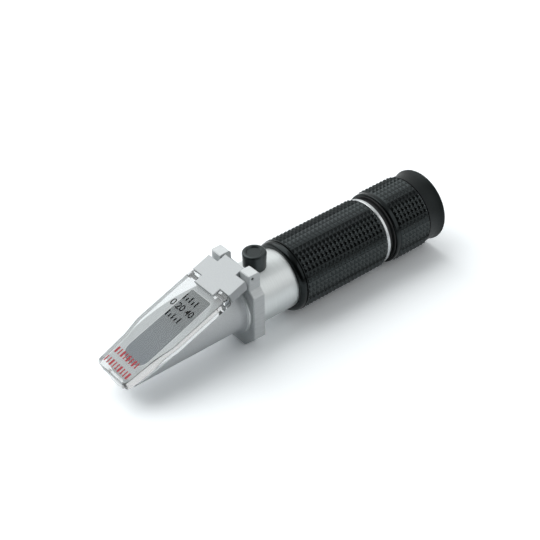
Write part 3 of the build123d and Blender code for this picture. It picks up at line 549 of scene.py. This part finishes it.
def sleeve(name, rings, columns, patterned, satin_place, body, node):
    """A closed rubber sleeve round the optical axis. Each ring is a place along it with a low and a high
    radius, which differ where pyramids stand. The last ring closes onto the first."""
    around = [(tau * (place - 0.5) / columns, height) for place, height in ramps(columns)]
    points = []
    for x, low, high in rings:
        for angle, height in around:
            radius = low + (high - low) * height
            points.append((x * MM, radius * sin(angle) * MM, axis_height + radius * cos(angle) * MM))
    count = len(around)
    faces, finishes = [], []
    for i in range(len(rings)):
        k = (i + 1) % len(rings)
        for j in range(count):
            m = (j + 1) % count
            a, b, c, d = i * count + j, i * count + m, k * count + m, k * count + j
            rise = [(rings[r][2] - rings[r][1]) * around[q][1] for r, q in ((i, j), (i, m), (k, m), (k, j))]
            if abs(rise[0] - rise[2]) > abs(rise[1] - rise[3]):
                faces += [(a, b, c), (a, c, d)]
            elif abs(rise[1] - rise[3]) > abs(rise[0] - rise[2]):
                faces += [(a, b, d), (b, c, d)]
            else:
                faces.append((a, b, c, d))
            raised = rings[i][1] != rings[i][2] or rings[k][1] != rings[k][2]
            finish = 1 if raised else 2 * int(rings[i][0] > satin_place)
            finishes += [finish] * (len(faces) - len(finishes))
    mesh = bpy.data.meshes.new(name)
    mesh.from_pydata(points, [], faces)
    mesh.shade_smooth()
    mesh.set_sharp_from_angle(angle=sharp_angle)
    for material in (smooth_rubber, patterned, satin_rubber):
        mesh.materials.append(material)
    mesh.polygons.foreach_set("material_index", finishes)
    made = bpy.data.objects.new(name, mesh)
    bpy.context.scene.collection.objects.link(made)
    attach(made, body)
    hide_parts(node)


def level_ring(place, radius):
    """A plain ring: its low and its high radius are the same."""
    return place, radius, radius


def quarter(x0, r0, x1, r1, steps=6):
    """Plain rings along a rounded corner from a steep start to a level end."""
    for i in range(steps + 1):
        angle = pi / 2 * i / steps
        yield level_ring(x0 + (x1 - x0) * (1 - cos(angle)), r0 + (r1 - r0) * sin(angle))


def knurl(front, rear, rows, valley, crest):
    """Rings of a pattern of pyramids between two places."""
    pitch = (rear - front) / rows
    for place, height in ramps(rows):
        yield front + pitch * place, valley, valley + (crest - valley) * height
    yield level_ring(rear, valley)


grip_front, grip_rear = grip_low.x / MM, grip_high.x / MM
pattern_front = grip_front + grip_band
pattern_rear = grip_rear - rear_margin
grip_rings = [
    level_ring(grip_front, grip_inner),
    *quarter(grip_front, grip_lip, grip_front + lip_round, grip_crest - band_drop),
    level_ring(pattern_front - ring_groove_front - groove_wall, grip_crest - band_drop + band_rise),
    level_ring(pattern_front - ring_groove_front, grip_crest - ring_groove),
    level_ring(pattern_front - ring_groove_rear, grip_crest - ring_groove),
    level_ring(pattern_front - ring_groove_rear + groove_wall, grip_crest),
    level_ring(pattern_front - ring_width, grip_crest),
    *knurl(pattern_front, pattern_rear, grip_rows, grip_valley, grip_crest),
    level_ring(grip_rear, grip_valley),
    level_ring(grip_rear, grip_inner),
]
sleeve("grip_with_pyramids", grip_rings, grip_columns, grip_rubber, grip_rear, "root", "rubber_grip")

# Grip end ring
# Aluminium ring, turned bright, pushed onto the focus sleeve's shoulder behind the grip: one thin clean
# highlight.
ring_greys = "#C2C5C6", "#CACDCE"
bright_turned = surface("bright_turned_aluminium", ring_greys, metallic=0.8, rough=(0.3, 0.38),
                        grain_size=0.3, depth=0.001)
dress("grip_end_ring", bright_turned)

# Eyepiece rubber
# One black rubber moulding over the focus collar: a front band, rows of pyramids and a smooth waist, all
# as shiny as the grip, and the soft eyecup, which is duller.
eye_low, eye_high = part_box("eyepiece_rubber")
eye_front, eye_rear = eye_low.x / MM, eye_high.x / MM
eye_crest = (eye_high.z - eye_low.z) / 2 / MM
eye_groove = 0.75        # as on the grip, a little deeper than in the solid
eye_valley = eye_crest - eye_groove
eye_band = 15.2
band_round = 0.5
band_edge = 0.9          # end of the band, in front of the pyramids
neck_drop = 0.45         # plain groove between the band and the pyramids
neck_rear = 0.2
eye_pattern_setback = 2.5
eye_pattern_length = 16.0
waist_length = 4.2       # from the pyramids to the narrowest place
cup_depth = 7.0
eye_pattern_front = eye_front + eye_pattern_setback
eye_pattern_rear = eye_pattern_front + eye_pattern_length
eye_rows = 8
eye_columns = 44
waist_start = 0.1
waist_radius = 14.85
waist_place = eye_pattern_rear + waist_length
rim_radius = 15.55
mouth_radius = 13.7
floor_place = eye_rear - cup_depth
floor_radius = 12.0
collar_radius = 14.12
web_place = 87.6
clip_hole = 11.7
clip_place = 88.5
barrel_hole = 10.55


def bow(x0, r0, x1, r1, steps=8):
    """Plain rings along a gentle curve that is level at its first end."""
    for i in range(steps + 1):
        share = i / steps
        yield level_ring(x0 + (x1 - x0) * share, r0 + (r1 - r0) * share ** 2)


rim = (rim_radius - mouth_radius) / 2
rim_steps = 8
rim_rings = []
for i in range(rim_steps + 1):
    angle = pi * i / rim_steps
    rim_rings.append(level_ring(eye_rear - rim + rim * sin(angle), mouth_radius + rim + rim * cos(angle)))
eye_rings = [
    level_ring(eye_front, collar_radius),
    *quarter(eye_front, eye_band - band_round, eye_front + band_round, eye_band, 4),
    level_ring(eye_pattern_front - band_edge, eye_band),
    level_ring(eye_pattern_front - band_edge + groove_wall, eye_band - neck_drop),
    level_ring(eye_pattern_front - neck_rear, eye_band - neck_drop),
    *knurl(eye_pattern_front, eye_pattern_rear, eye_rows, eye_valley, eye_crest),
    *reversed(list(bow(waist_place, waist_radius, eye_pattern_rear + waist_start, eye_band))),
    *list(bow(waist_place, waist_radius, eye_rear - rim, rim_radius))[1:],
    *rim_rings[1:],
    level_ring(floor_place, floor_radius),
    level_ring(floor_place, barrel_hole),
    level_ring(clip_place, barrel_hole),
    level_ring(clip_place, clip_hole),
    level_ring(web_place, clip_hole),
    level_ring(web_place, collar_radius),
]
# its grooves get the same painted shade as the grip's
eye_rubber = pyramid_rubber("eyepiece_moulded_rubber", eye_valley, eye_crest)
sleeve("eyepiece_with_pyramids", eye_rings, eye_columns, eye_rubber, eye_pattern_rear, "eyepiece",
       "eyepiece_rubber")
